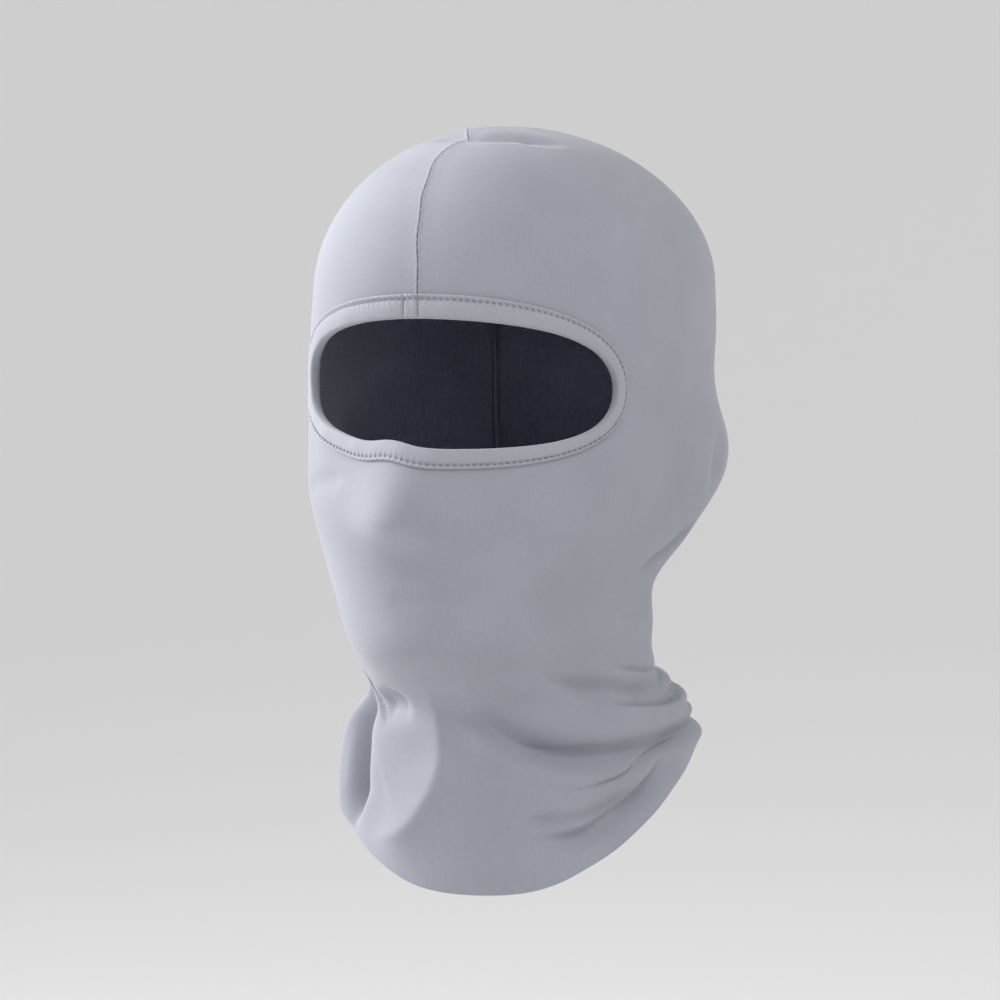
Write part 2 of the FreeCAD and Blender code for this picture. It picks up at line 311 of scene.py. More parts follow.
# ------------------------------------------------------------------ shape of the cloth
def along(table, column, place):
    """Smooth value of one table column at places given in its first column."""
    keys = table[:, 0]
    values = table[:, column]
    place = np.clip(place, keys[0], keys[-1])
    i = np.clip(np.searchsorted(keys, place, side="right") - 1, 0, len(keys) - 2)
    before = np.maximum(np.arange(len(keys)) - 1, 0)
    after = np.minimum(np.arange(len(keys)) + 1, len(keys) - 1)
    slope = (values[after] - values[before]) / (keys[after] - keys[before])
    span = keys[i + 1] - keys[i]
    t = (place - keys[i]) / span
    rise = values[i + 1] - values[i]
    bend_in = slope[i] * span - rise
    bend_out = rise - slope[i + 1] * span
    return values[i] + t * rise + t * (1 - t) * ((1 - t) * bend_in + t * bend_out)


def bell(distance, spread):
    """A smooth bump of height 1 over a distance of 0."""
    return np.exp(-0.5 * (distance / spread) ** 2)


def bump(sideways, height, shape):
    """A bump's height over the cloth, at degrees from its middle and at a height."""
    middle, reach, spread, rise, drop = shape
    upright = np.where(height > middle, rise, drop)
    return reach * bell(sideways, spread) * bell(height - middle, upright)


def head_points(angle, z):
    """Points of the plain stretched cloth; angle 0 is the face, +90 the wearer's left."""
    angle, z = np.broadcast_arrays(np.asarray(angle, float), np.asarray(z, float))
    climb = np.clip((z - DOME_FOOT) / (CROWN - DOME_FOOT), 0, 1)
    shrink = np.maximum(1 - climb**DOME_POWER, 1e-9) ** (1 / DOME_POWER)
    side = np.sin(angle)
    ahead = np.cos(angle)
    half_width = along(HEAD_STATIONS, 1, z) * shrink
    length = np.where(ahead > 0, along(HEAD_STATIONS, 2, z), along(HEAD_STATIONS, 3, z)) * shrink
    power = along(HEAD_STATIONS, 4, z)
    power = power + (2.0 - power) * climb
    radius = (np.abs(side / half_width) ** power + np.abs(ahead / length) ** power) ** (-1 / power)
    degrees = np.degrees(np.arctan2(side, ahead))
    radius = radius + bump(degrees, z, NOSE) + bump(np.abs(degrees) - EAR_ANGLE, z, EAR)
    sideways = along(HEAD_STATIONS, 5, z)
    return np.stack([sideways + radius * side, -CROWN_FORWARD * climb**2 - radius * ahead, z], axis=-1)


def head_normals(angle, z):
    """Outward directions of the plain stretched cloth."""
    step = 0.002
    angle, z = np.broadcast_arrays(np.asarray(angle, float), np.asarray(z, float))
    drop = np.minimum(0.25, (CROWN - z) * 0.5)
    around = head_points(angle + step, z) - head_points(angle - step, z)
    upward = head_points(angle, z + drop) - head_points(angle, z - drop)
    normal = np.cross(around, upward)
    size = np.linalg.norm(normal, axis=-1, keepdims=True)
    return np.where(size > 1e-9, normal / np.maximum(size, 1e-9), np.array((0.0, 0.0, 1.0)))


def smooth_path(places, spacing):
    """Evenly spaced angle, height pairs on a smooth curve through a few places."""
    places = np.asarray(places, float)
    keys = np.arange(len(places), dtype=float)
    table = np.column_stack([keys, places])
    fine = np.linspace(0, keys[-1], 40 * len(places))
    angle = np.radians(along(table, 1, fine))
    height = along(table, 2, fine)
    points = head_points(angle, height)
    run = np.concatenate([[0], np.cumsum(np.linalg.norm(np.diff(points, axis=0), axis=1))])
    even = np.linspace(0, run[-1], max(int(run[-1] / spacing), 6))
    return np.interp(even, run, angle), np.interp(even, run, height)


class Fold:
    """One fold line on the cloth, ready to give its height at any point."""

    SPACING = 1.0  # mm between the points of the line
    TAPER = 0.27  # share of the line over which each end fades
    BLEND = 18.0  # square mm over which neighbouring points share their place along the line
    END_WIDTH = 0.45  # width left at the ends
    CREST = 0.25  # rounding of a corner's crest, in widths
    REACH = 4.0  # widths after which a fold no longer matters

    def __init__(self, kind, size, upper, lower, places):
        self.kind = kind
        self.size = size
        self.upper = upper
        self.lower = lower
        angle, height = smooth_path(places, self.SPACING)
        self.points = head_points(angle, height)
        tangent = np.gradient(self.points, axis=0)
        tangent /= np.linalg.norm(tangent, axis=1, keepdims=True)
        self.tangent = tangent
        self.across = np.cross(tangent, head_normals(angle, height))
        self.reach = self.REACH * max(upper, lower)

    def height(self, points):
        """How far the fold moves each point outwards."""
        result = np.zeros(len(points))
        low = self.points.min(axis=0) - self.reach
        high = self.points.max(axis=0) + self.reach
        near = np.nonzero(np.all((points > low) & (points < high), axis=1))[0]
        for part in np.array_split(near, max(1, len(near) // 4000)):
            if len(part):
                result[part] = self._height_near(points[part])
        return result

    def _height_near(self, points):
        apart = points[:, None, :] - self.points[None, :, :]
        squared = (apart**2).sum(axis=2)
        nearest = np.argmin(squared, axis=1)
        offset = apart[np.arange(len(points)), nearest]
        sideways = (offset * self.across[nearest]).sum(axis=1)
        past = np.abs((offset * self.tangent[nearest]).sum(axis=1))
        width = np.where(sideways < 0, self.upper, self.lower)
        weight = np.exp((squared.min(axis=1)[:, None] - squared) / self.BLEND)
        share = weight @ np.linspace(0, 1, len(self.points)) / weight.sum(axis=1)
        if self.kind == "dimple":
            return -self.size * np.exp(-((offset**2).sum(axis=1)) / self.upper**2)
        taper = np.clip(np.minimum(share, 1 - share) / self.TAPER, 0, 1)
        taper = taper * taper * (3 - 2 * taper)
        width = width * (self.END_WIDTH + (1 - self.END_WIDTH) * taper)
        fade = taper * np.exp(-((past / width) ** 2))
        ratio = np.abs(sideways) / width
        if self.kind == "crease":
            return -self.size * fade * np.exp(-ratio)
        if self.kind == "valley":
            return -self.size * fade * np.exp(-(ratio**2))
        if self.kind == "roll":
            return self.size * fade * np.sqrt(np.clip(1 - ratio**2, 0, 1))
        if self.kind == "corner":
            return self.size * fade * np.exp(self.CREST - np.sqrt(ratio**2 + self.CREST**2))
        return self.size * fade * np.exp(-(ratio**2))


def slack(points):
    """Gentle unevenness of cloth that isn't stretched tight; it grows towards the hem. Its waves
    cross at uneven lengths, so that no pattern shows."""
    x, y, z = points.T
    loose = np.clip((LOOSE_TOP - z) / LOOSE_DROP, 0, 1)
    wave = np.sin(x / 17 + y / 29 + 0.6) * np.sin(z / 21 - x / 33)
    ripple = np.sin(x / 7.3 - z / 11 + y / 9.1) * np.sin(y / 8.2 + z / 17)
    return loose * (0.5 * wave + 0.2 * ripple) + 0.12 * wave


def beside_seam(points):
    """Sideways distance of points from the course of the middle seam."""
    return points[..., 0] - along(SEAM_COURSE, 1, points[..., 1])


def seam_bulge(points):
    """The cloth stands out a little over the seam allowance, over the head and down its back."""
    painted_seam_shade = (points[:, 2] > SEAM_START) | (points[:, 1] > 0)
    bulge = SEAM_BULGE * np.exp(-((beside_seam(points) / SEAM_BULGE_WIDTH) ** 2))
    return np.where(painted_seam_shade, bulge, 0.0)


FOLD_LINES = [Fold(*fold) for fold in FOLDS]


def cloth_points(angle, z, lift=0.0):
    """Points of the folded cloth, moved outwards by a lift."""
    plain = head_points(angle, z)
    normal = head_normals(angle, z)
    flat = plain.reshape(-1, 3)
    height = slack(flat) + seam_bulge(flat)
    for line in FOLD_LINES:
        height = height + line.height(flat)
    height = height.reshape(plain.shape[:-1]) + lift
    return plain + normal * height[..., None]


def hem_height(angle):
    """Height of the hem at each angle."""
    z = np.full(np.shape(angle), -170.0)
    for _ in range(30):
        point = head_points(angle, z)
        behind = -point[..., 0] * math.sin(HEM_TURN) + point[..., 1] * math.cos(HEM_TURN)
        z = 0.5 * z + 0.5 * along(HEM_LINE, 1, behind)
    return z


# ------------------------------------------------------------------ meshes
def new_piece(name, points, faces, material, replaced, uvs=None, wrap=None):
    """A smooth mesh from points in mm that rides on the root body. Its map is given for each
    point; where a closed grid comes back to its start, wrap is added to the low side."""
    mesh = bpy.data.meshes.new(name)
    mesh.from_pydata((np.asarray(points) * MM).tolist(), [], faces)
    mesh.validate()
    mesh.shade_smooth()
    piece = bpy.data.objects.new(name, mesh)
    bpy.context.scene.collection.objects.link(piece)
    mesh.materials.append(material)
    if uvs is not None:
        layer = mesh.uv_layers.new(name="knit")
        corner = np.zeros(len(mesh.loops), dtype=int)
        mesh.loops.foreach_get("vertex_index", corner)
        places = np.asarray(uvs, float)[corner]
        if wrap:
            first = np.zeros(len(mesh.loops), dtype=int)
            for face in mesh.polygons:
                first[face.loop_start : face.loop_start + face.loop_total] = face.loop_start
            places[places[:, 0] < places[first, 0] - wrap / 2, 0] += wrap
            places[places[:, 0] > places[first, 0] + wrap / 2, 0] -= wrap
        layer.data.foreach_set("uv", places.ravel())
    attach(piece, "root")
    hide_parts(*replaced)
    return piece


def grid_faces(rows, columns, closed):
    """Quads of a grid of points; closed grids join their last column to the first."""
    faces = []
    last = columns if closed else columns - 1
    for row in range(rows - 1):
        for column in range(last):
            following = (column + 1) % columns
            here = row * columns
            below = here + columns
            faces.append((here + column, here + following, below + following, below + column))
    return faces


def cloth_heights(angle, fineness):
    """Heights of the cloth's rows at each angle, from just under the crown to the hem."""
    dome_rows = int(DOME_ROWS * fineness)
    face_rows = int(FACE_ROWS * fineness)
    neck_rows = int(NECK_ROWS * fineness)
    climb = np.radians(np.linspace(FIRST_ROW, 0, dome_rows, endpoint=False))
    dome = DOME_FOOT + (CROWN - DOME_FOOT) * np.sin(climb)
    face = np.linspace(DOME_FOOT, NECK_TOP, face_rows, endpoint=False)
    fixed = np.concatenate([dome, face])[:, None] + np.zeros_like(angle)[None, :]
    share = np.linspace(0, 1, neck_rows)[:, None]
    neck = NECK_TOP + (hem_height(angle)[None, :] - NECK_TOP) * share
    return np.concatenate([fixed, neck], axis=0)


def cloth_angles(columns):
    """Column angles, closer together at the nose and the front of the neck."""
    fine = np.linspace(-np.pi, np.pi, 4000)
    density = 1 + DENSE_EXTRA * bell(np.degrees(fine) - DENSE_ANGLE, DENSE_SPREAD)
    share = np.concatenate([[0], np.cumsum((density[1:] + density[:-1]) / 2)])
    even = np.arange(columns) / columns * share[-1]
    return np.interp(even, share, fine)


def outside_opening(angle, z, margin):
    """Which places lie outside the eye opening grown by a margin."""
    across = (angle - OPENING_CENTRE_ANGLE) / (OPENING_HALF_ANGLE + margin / FACE_RADIUS)
    sag = OPENING_TILT * across + OPENING_DROOP * across**2
    upwards = (z - OPENING_CENTRE_Z + sag) / (OPENING_HALF_HEIGHT + margin)
    return np.abs(across) ** OPENING_SQUARENESS + np.abs(upwards) ** OPENING_SQUARENESS > 1


def cloth_sheet(name, lift, hem, fineness, inward, material, replaced):
    """One ply: crown cap, rows down to the hem, and a rolled edge at the hem, which is given as
    drops below the hem and heights over the cloth. An inward ply faces the wearer."""
    angle = cloth_angles(int(COLUMNS * fineness))
    columns = len(angle)
    heights = cloth_heights(angle, fineness)
    body = cloth_points(angle[None, :], heights, lift)
    edge = [cloth_points(angle, heights[-1] - drop, edge_lift) for drop, edge_lift in hem]
    grid = np.concatenate([body] + [row[None] for row in edge], axis=0)
    rows = grid.shape[0]
    top = cloth_points(np.array([0.0]), np.array([CROWN - 1e-6]), lift)
    points = np.concatenate([grid.reshape(-1, 3), top])
    every_height = np.concatenate([heights, np.repeat(heights[-1:], len(edge), axis=0)])
    keep = outside_opening(angle[None, :], every_height, CLOTH_CUT).ravel()
    faces = [face for face in grid_faces(rows, columns, True) if all(keep[k] for k in face)]
    cap = len(points) - 1
    faces += [(cap, (k + 1) % columns, k) for k in range(columns)]
    if not inward:
        faces = [face[::-1] for face in faces]
    run = np.linalg.norm(np.diff(grid, axis=0), axis=2)
    down = np.concatenate([np.zeros((1, columns)), np.cumsum(run, axis=0)])
    around = np.degrees(angle)[None, :] + np.zeros((rows, 1))
    uvs = np.column_stack([around.ravel(), down.ravel()])
    uvs = np.concatenate([uvs, [[0.0, 0.0]]])
    used = sorted({k for face in faces for k in face})
    renumber = {old: new for new, old in enumerate(used)}
    faces = [tuple(renumber[k] for k in face) for face in faces]
    return new_piece(name, points[used], faces, material, replaced, uvs[used], 360.0)


# ------------------------------------------------------------------ binding and threads
def opening_outline(turn, outwards):
    """Angle and height of the opening's rim, moved away from its centre along the cloth."""
    power = 2 / OPENING_SQUARENESS
    across = np.sign(np.cos(turn)) * np.abs(np.cos(turn)) ** power
    upwards = np.sign(np.sin(turn)) * np.abs(np.sin(turn)) ** power
    angle = OPENING_CENTRE_ANGLE + (OPENING_HALF_ANGLE + outwards / FACE_RADIUS) * across
    z = OPENING_CENTRE_Z + (OPENING_HALF_HEIGHT + outwards) * upwards
    peak = NOSE_PEAK * bell(np.degrees(angle) - NOSE_PEAK_ANGLE, NOSE_PEAK_SPREAD) * (upwards < 0)
    return angle, z + peak - OPENING_TILT * across - OPENING_DROOP * across**2


def even_turns(count):
    """Turns that give evenly spaced places round the eye opening."""
    fine = np.linspace(0, 2 * np.pi, 6001)
    angle, z = opening_outline(fine, BINDING_WIDTH / 2)
    points = head_points(angle, z)
    run = np.concatenate([[0], np.cumsum(np.linalg.norm(np.diff(points, axis=0), axis=1))])
    return np.interp(np.arange(count) / count * run[-1], run, fine), run[-1]


def opening_points(turn, outwards, lift):
    """Points of the binding strip, which is narrower below and on the wearer's left."""
    left = NARROWER_LEFT * np.maximum(np.cos(turn), 0) ** 2
    below = NARROWER_BELOW * np.maximum(-np.sin(turn), 0)
    narrowing = 1 - left - below
    angle, z = opening_outline(turn, BINDING_WIDTH - (BINDING_WIDTH - outwards) * narrowing)
    return cloth_points(angle, z, lift)


def sweep(profile, turns, length, name, material, replaced):
    """A strip whose cross-section follows the eye opening; profile is outwards, lift."""
    rings = []
    for outwards, lift in profile:
        rings.append(opening_points(turns, outwards, lift + gathered(outwards, turns)))
    points = np.concatenate(rings)
    rows = len(profile)
    columns = len(turns)
    faces = grid_faces(rows + 1, columns, True)
    faces = [tuple(k % (rows * columns) for k in face) for face in faces]
    along_strip = np.tile(np.arange(columns) / columns * length, rows)
    across_strip = np.repeat([p[0] for p in profile], columns)
    uvs = np.column_stack([along_strip, across_strip])
    return new_piece(name, points, faces, material, replaced, uvs, length)


def gathered(outwards, turns):
    """Small puckers that the stitch row presses into the strip, and the join of its ends."""
    share = np.arange(len(turns)) / len(turns)
    pressed = PUCKER_DEPTH * np.cos(2 * np.pi * BINDING_STITCHES * share)
    slow = 0.12 * np.sin(2 * np.pi * 17 * share + 1.0) + 0.08 * np.sin(2 * np.pi * 31 * share)
    angle, z = opening_outline(turns, outwards)
    sideways = angle * FACE_RADIUS
    first, last = np.radians(JOIN_ANGLES) * FACE_RADIUS
    between = (sideways > first) & (sideways < last)
    join = JOIN_RISE * between
    join = join - JOIN_GROOVES[0] * bell(sideways - first, JOIN_SPREAD)
    join = join - JOIN_GROOVES[1] * bell(sideways - last, JOIN_SPREAD)
    join = np.where(z > OPENING_CENTRE_Z, join, 0.0)
    near_row = bell(outwards - STITCH_ROW, PUCKER_SPREAD)
    return near_row * pressed + bell(outwards - STRIP_MIDDLE, STRIP_SPREAD) * slow + join


def capsule(start, end, radius):
    """Points and faces of one short round stitch, thicker in its middle."""
    axis = end - start
    size = np.linalg.norm(axis)
    axis = axis / size
    helper = np.array((0.0, 0.0, 1.0)) if abs(axis[2]) < 0.9 else np.array((1.0, 0.0, 0.0))
    right = np.cross(axis, helper)
    right /= np.linalg.norm(right)
    up = np.cross(axis, right)
    turn = np.arange(STITCH_SIDES) / STITCH_SIDES * 2 * np.pi
    ring = np.outer(np.cos(turn), right) + np.outer(np.sin(turn), up)
    rings = [start + axis * size * share + ring * radius * width for share, width in STITCH_SHAPE]
    points = np.concatenate(rings + [start[None] - axis * radius, end[None] + axis * radius])
    faces = grid_faces(len(rings), STITCH_SIDES, True)
    first = len(points) - 2
    base = (len(rings) - 1) * STITCH_SIDES
    for k in range(STITCH_SIDES):
        faces.append((first, (k + 1) % STITCH_SIDES, k))
    for k in range(STITCH_SIDES):
        faces.append((first + 1, base + k, base + (k + 1) % STITCH_SIDES))
    return points, faces


def stitches(name, starts, ends, radius, material, replaced):
    """Many separate stitches as one piece."""
    points = []
    faces = []
    count = 0
    for start, end in zip(starts, ends):
        stitch_points, stitch_faces = capsule(start, end, radius)
        points.append(stitch_points)
        faces += [tuple(k + count for k in face) for face in stitch_faces]
        count += len(stitch_points)
    return new_piece(name, np.concatenate(points), faces, material, replaced)


# ------------------------------------------------------------------ middle seam
def seam_angles(z, ahead):
    """Angles at which the seam's course meets the cloth, at the front or at the back."""
    middle = 0.0 if ahead else np.pi + SEAM_BACK
    low = np.full(np.shape(z), middle - np.pi / 3)
    high = np.full(np.shape(z), middle + np.pi / 3)
    for _ in range(40):
        angle = (low + high) / 2
        past = (beside_seam(head_points(angle, z)) > 0) == ahead
        high = np.where(past, angle, high)
        low = np.where(past, low, angle)
    return angle


def crown_heights(x, y):
    """Heights of the plain dome over places seen from above."""
    low = np.full(np.shape(x), DOME_FOOT)
    high = np.full(np.shape(x), CROWN)
    for _ in range(40):
        z = (low + high) / 2
        drift = CROWN_FORWARD * ((z - DOME_FOOT) / (CROWN - DOME_FOOT)) ** 2
        ring = head_points(np.arctan2(x, -y - drift), z)
        within = np.hypot(x, y + drift) < np.hypot(ring[..., 0], ring[..., 1] + drift)
        low = np.where(within, z, low)
        high = np.where(within, high, z)
    return z


def seam_line():
    """Plain places along the middle seam, from the binding over the crown to the nape hem."""
    front = np.linspace(SEAM_START, SEAM_SHOULDER, 200)
    back = np.linspace(SEAM_SHOULDER, SEAM_FOOT, 500)
    up = head_points(seam_angles(front, True), front)
    down = head_points(seam_angles(back, False), back)
    y = np.linspace(up[-1, 1], down[0, 1], 300)[1:-1]
    x = along(SEAM_COURSE, 1, y)
    over = np.stack([x, y, crown_heights(x, y)], axis=1)
    inside = back > hem_height(seam_angles(back, False)) + SEAM_HEM_GAP
    return np.concatenate([up, over, down[inside]])


def places_of(points):
    """Angles and heights of points that lie on, or close to, the plain stretched cloth."""
    z = np.minimum(points[..., 2], CROWN - 1e-3)
    climb = np.clip((z - DOME_FOOT) / (CROWN - DOME_FOOT), 0, 1)
    ahead = -points[..., 1] - CROWN_FORWARD * climb**2
    return np.arctan2(points[..., 0] - along(HEAD_STATIONS, 5, z), ahead), z


def seam_places(count):
    """Evenly spaced points of the seam on the plain cloth, their sideways directions, the run."""
    points = seam_line()
    run = np.concatenate([[0], np.cumsum(np.linalg.norm(np.diff(points, axis=0), axis=1))])
    even = np.linspace(0, run[-1], count)
    middle = np.stack([np.interp(even, run, points[:, k]) for k in range(3)], axis=1)
    tangent = np.gradient(middle, axis=0)
    tangent /= np.linalg.norm(tangent, axis=1, keepdims=True)
    across = np.cross(head_normals(*places_of(middle)), tangent)
    return middle, across, even


def beside_middle(middle, across, offset, lift):
    """Points of the folded cloth at an offset from the seam, moved outwards by a lift."""
    sideways = across * np.reshape(offset, (-1, 1))
    return cloth_points(*places_of(middle + sideways), lift)


def seam_wander(run):
    """How far the sewn line strays from its course."""
    return 0.35 * np.sin(run / 9.0) + 0.22 * np.sin(run / 3.1 + 1.0)


def both_sides(half, middle):
    """A cross-section from one side to its mirror image, over a middle at a given height."""
    return [(-offset, lift) for offset, lift in half] + [(0.0, middle)] + list(half[::-1])


def seam_strip(name, profile, rows, run, material, replaced):
    """A strip along the seam from one row of points for each place in its cross-section."""
    faces = grid_faces(len(profile), len(run), False)
    offsets = np.repeat([offset for offset, _ in profile], len(run))
    uvs = np.column_stack([offsets, np.tile(run, len(profile))])
    return new_piece(name, np.concatenate(rows), faces, material, replaced, uvs)


# ------------------------------------------------------------------ materials
def node_material(name):
    """A new material, its node tree and its shader."""
    material = bpy.data.materials.new(name)
    material.use_nodes = True
    tree = material.node_tree
    return material, tree, tree.nodes["Principled BSDF"]


def maths(tree, operation, *values):
    """Result of a maths node; each value is a number or another node's output."""
    node = tree.nodes.new("ShaderNodeMath")
    node.operation = operation
    for socket, value in zip(node.inputs, values):
        if isinstance(value, float):
            socket.default_value = value
        else:
            tree.links.new(value, socket)
    return node.outputs[0]


def noise(tree, scale, detail):
    """A cloudy value that is fixed to the piece."""
    place = tree.nodes.new("ShaderNodeTexCoord")
    cloud = tree.nodes.new("ShaderNodeTexNoise")
    cloud.inputs["Scale"].default_value = scale
    cloud.inputs["Detail"].default_value = detail
    tree.links.new(place.outputs["Object"], cloud.inputs["Vector"])
    return cloud.outputs["Fac"]


def ripple(tree, place, repeats):
    """A wave with so many repeats for each unit of the map."""
    return maths(tree, "SINE", maths(tree, "MULTIPLY", place, repeats * 2 * math.pi))


def add_relief(tree, shader, height, strength, distance):
    """Fine relief on the shader from a height."""
    relief = tree.nodes.new("ShaderNodeBump")
    relief.inputs["Strength"].default_value = strength
    relief.inputs["Distance"].default_value = distance
    tree.links.new(height, relief.inputs["Height"])
    tree.links.new(relief.outputs["Normal"], shader.inputs["Normal"])


def tinted(tree, value, dark, light, start=0.0, end=1.0):
    """A colour that goes from dark to light as a value goes from start to end."""
    tint = tree.nodes.new("ShaderNodeValToRGB")
    first, last = tint.color_ramp.elements
    first.position = start
    last.position = end
    first.color = [*dark, 1]
    last.color = [*light, 1]
    tree.links.new(value, tint.inputs["Fac"])
    return tint.outputs["Color"]


def painted_lip_shade(tree, across, tint, dark):
    """A tint with painted shade: it darkens along the middle of a seam, in the groove where its two lips
    meet.
    """
    closeness = tree.nodes.new("ShaderNodeMapRange")
    closeness.interpolation_type = "SMOOTHSTEP"
    closeness.inputs["From Min"].default_value = 0.5
    closeness.inputs["From Max"].default_value = 0.12
    tree.links.new(maths(tree, "ABSOLUTE", across), closeness.inputs["Value"])
    shade = tree.nodes.new("ShaderNodeMix")
    shade.data_type = "RGBA"
    shade.inputs["B"].default_value = [*dark, 1]
    tree.links.new(closeness.outputs["Result"], shade.inputs["Factor"])
    tree.links.new(tint, shade.inputs["A"])
    return shade.outputs["Result"]


def knit_material(name, colour, wales, courses, coarseness, depth, roughness, sheen, mottle, painted_seam_shade=False):
    """Fine jersey: wales and courses from the piece's own map, and a soft fibre grain. One made
    for a seam gets painted shade, darker between the lips of the seam where its groove lies."""
    material, tree, shader = node_material(name)
    shader.inputs["Roughness"].default_value = roughness
    shader.inputs["Specular IOR Level"].default_value = 0.25
    shader.inputs["Sheen Weight"].default_value = sheen
    shader.inputs["Sheen Roughness"].default_value = 0.45
    place = tree.nodes.new("ShaderNodeUVMap")
    place.uv_map = "knit"
    split = tree.nodes.new("ShaderNodeSeparateXYZ")
    tree.links.new(place.outputs["UV"], split.inputs[0])
    wale = ripple(tree, split.outputs["X"], wales)
    course = ripple(tree, split.outputs["Y"], courses)
    loops = maths(tree, "MULTIPLY_ADD", course, COURSE_SHARE, wale)
    grain = noise(tree, 1.0 / (GRAIN_SIZE * coarseness), 3.0)
    height = maths(tree, "MULTIPLY_ADD", grain, GRAIN_SHARE, loops)
    add_relief(tree, shader, height, 0.55, depth)
    cloud = noise(tree, 24.0, 4.0)
    speck = maths(tree, "MULTIPLY_ADD", grain, 0.5, cloud)
    dark = [c * (1 - mottle) for c in colour]
    light = [min(1, c * (1 + mottle)) for c in colour]
    tint = tinted(tree, speck, dark, light, 0.55, 0.95)
    # painted shade: darker colour along the seam's groove, between its lips
    if painted_seam_shade:
        tint = painted_lip_shade(tree, split.outputs["X"], tint, [c * LIP_PAINTED_SHADE for c in colour])
    tree.links.new(tint, shader.inputs["Base Color"])
    return material


def thread_material(name, colour):
    """Twisted sewing thread, a little shinier than the cloth."""
    material, tree, shader = node_material(name)
    shader.inputs["Roughness"].default_value = 0.6
    shader.inputs["Specular IOR Level"].default_value = 0.35
    place = tree.nodes.new("ShaderNodeTexCoord")
    twist = tree.nodes.new("ShaderNodeTexWave")
    twist.inputs["Scale"].default_value = 900.0
    twist.bands_direction = "DIAGONAL"
    tree.links.new(place.outputs["Object"], twist.inputs["Vector"])
    add_relief(tree, shader, twist.outputs["Fac"], 0.6, 0.00006)
    tint = tinted(tree, twist.outputs["Fac"], [c * 0.8 for c in colour], colour)
    tree.links.new(tint, shader.inputs["Base Color"])
    return material


FACE_GREY = (0.312, 0.323, 0.368)
BINDING_GREY = (0.345, 0.356, 0.402)
NAVY = (0.24, 0.255, 0.335)
THREAD_GREY = (0.24, 0.25, 0.29)

# Size of the fibre grain in metres, how much courses and grain count beside the wales, and how
# dark the painted shade makes the colour between the lips of the seam.
GRAIN_SIZE = 0.0011
COURSE_SHARE = 0.35
GRAIN_SHARE = 2.2
LIP_PAINTED_SHADE = 0.35

face_knit = knit_material(
    "face_knit",
    FACE_GREY,
    wales=1.9,
    courses=1.25,
    coarseness=1.0,
    depth=0.00003,
    roughness=0.9,
    sheen=0.2,
    mottle=0.05,
)
# the seam's lips, with painted shade in the groove between them
seam_knit = knit_material(
    "seam_knit",
    FACE_GREY,
    wales=1.2,
    courses=1.25,
    coarseness=1.0,
    depth=0.00004,
    roughness=0.9,
    sheen=0.2,
    mottle=0.04,
    painted_seam_shade=True,
)
lining_knit = knit_material(
    "lining_knit",
    NAVY,
    wales=1.0,
    courses=0.9,
    coarseness=1.6,
    depth=0.0002,
    roughness=0.92,
    sheen=0.3,
    mottle=0.15,
)
binding_knit = knit_material(
    "binding_knit",
    BINDING_GREY,
    wales=1.1,
    courses=0.3,
    coarseness=1.0,
    depth=0.00007,
    roughness=0.88,
    sheen=0.25,
    mottle=0.03,
)
grey_thread = thread_material("grey_thread", THREAD_GREY)
dark_thread = thread_material("dark_thread", NAVY)


# ------------------------------------------------------------------ pieces
def make_hood():
    """The outer ply, whose hem rolls inwards over the thickness of the ply."""
    return cloth_sheet(
        "hood_cloth",
        lift=0.0,
        hem=((0.25, -0.1), (0.45, -0.45), (0.3, -PLY)),
        fineness=1.0,
        inward=False,
        material=face_knit,
        replaced=("hood_shell",),
    )


def make_lining():
    """The dark inner ply, as it is seen from inside."""
    return cloth_sheet(
        "hood_lining_cloth",
        lift=-CLOTH,
        hem=((0.1, -1.0),),
        fineness=LINING_FINENESS,
        inward=True,
        material=lining_knit,
        replaced=("hood_lining",),
    )


def make_binding():
    """The strip folded over the cut edge round the eye opening."""
    turns, length = even_turns(BINDING_COLUMNS)
    return sweep(
        BINDING_PROFILE,
        turns,
        length,
        "eye_binding_strip",
        material=binding_knit,
        replaced=("eye_binding",),
    )


def binding_row(name, ends, lift, radius, material, replaced):
    """One row of slanting stitches round the binding."""
    turns, _ = even_turns(2 * BINDING_STITCHES)
    starts = opening_points(turns[0::2], STITCH_ROW + ends[0], lift)
    finishes = opening_points(turns[1::2], STITCH_ROW + ends[1], lift)
    return stitches(name, starts, finishes, radius, material, replaced)


def make_binding_stitches():
    """The needle thread, which shows on the outside of the binding."""
    return binding_row(
        "binding_needle_stitches",
        NEEDLE_ENDS,
        NEEDLE_LIFT,
        NEEDLE_RADIUS,
        material=grey_thread,
        replaced=("binding_needle_thread",),
    )


def make_binding_looper():
    """The thread on the inside of the binding."""
    return binding_row(
        "binding_looper_stitches",
        LOOPER_ENDS,
        LOOPER_LIFT,
        LOOPER_RADIUS,
        material=dark_thread,
        replaced=("binding_looper_thread",),
    )


def make_join_stitches():
    """Two short rows of stitches across the binding, above the nose."""
    starts = []
    ends = []
    rim = OPENING_CENTRE_Z + OPENING_HALF_HEIGHT
    for degrees in JOIN_ANGLES:
        for step in range(JOIN_STITCHES):
            low = rim + JOIN_START + JOIN_PITCH * step
            heights = np.array([low, low + JOIN_LENGTH])
            across = np.radians([degrees, degrees + JOIN_LEAN])
            pair = cloth_points(across, heights, JOIN_LIFT)
            starts.append(pair[0])
            ends.append(pair[1])
    return stitches(
        "binding_join_stitches",
        starts,
        ends,
        JOIN_RADIUS,
        material=grey_thread,
        replaced=("binding_join_thread",),
    )


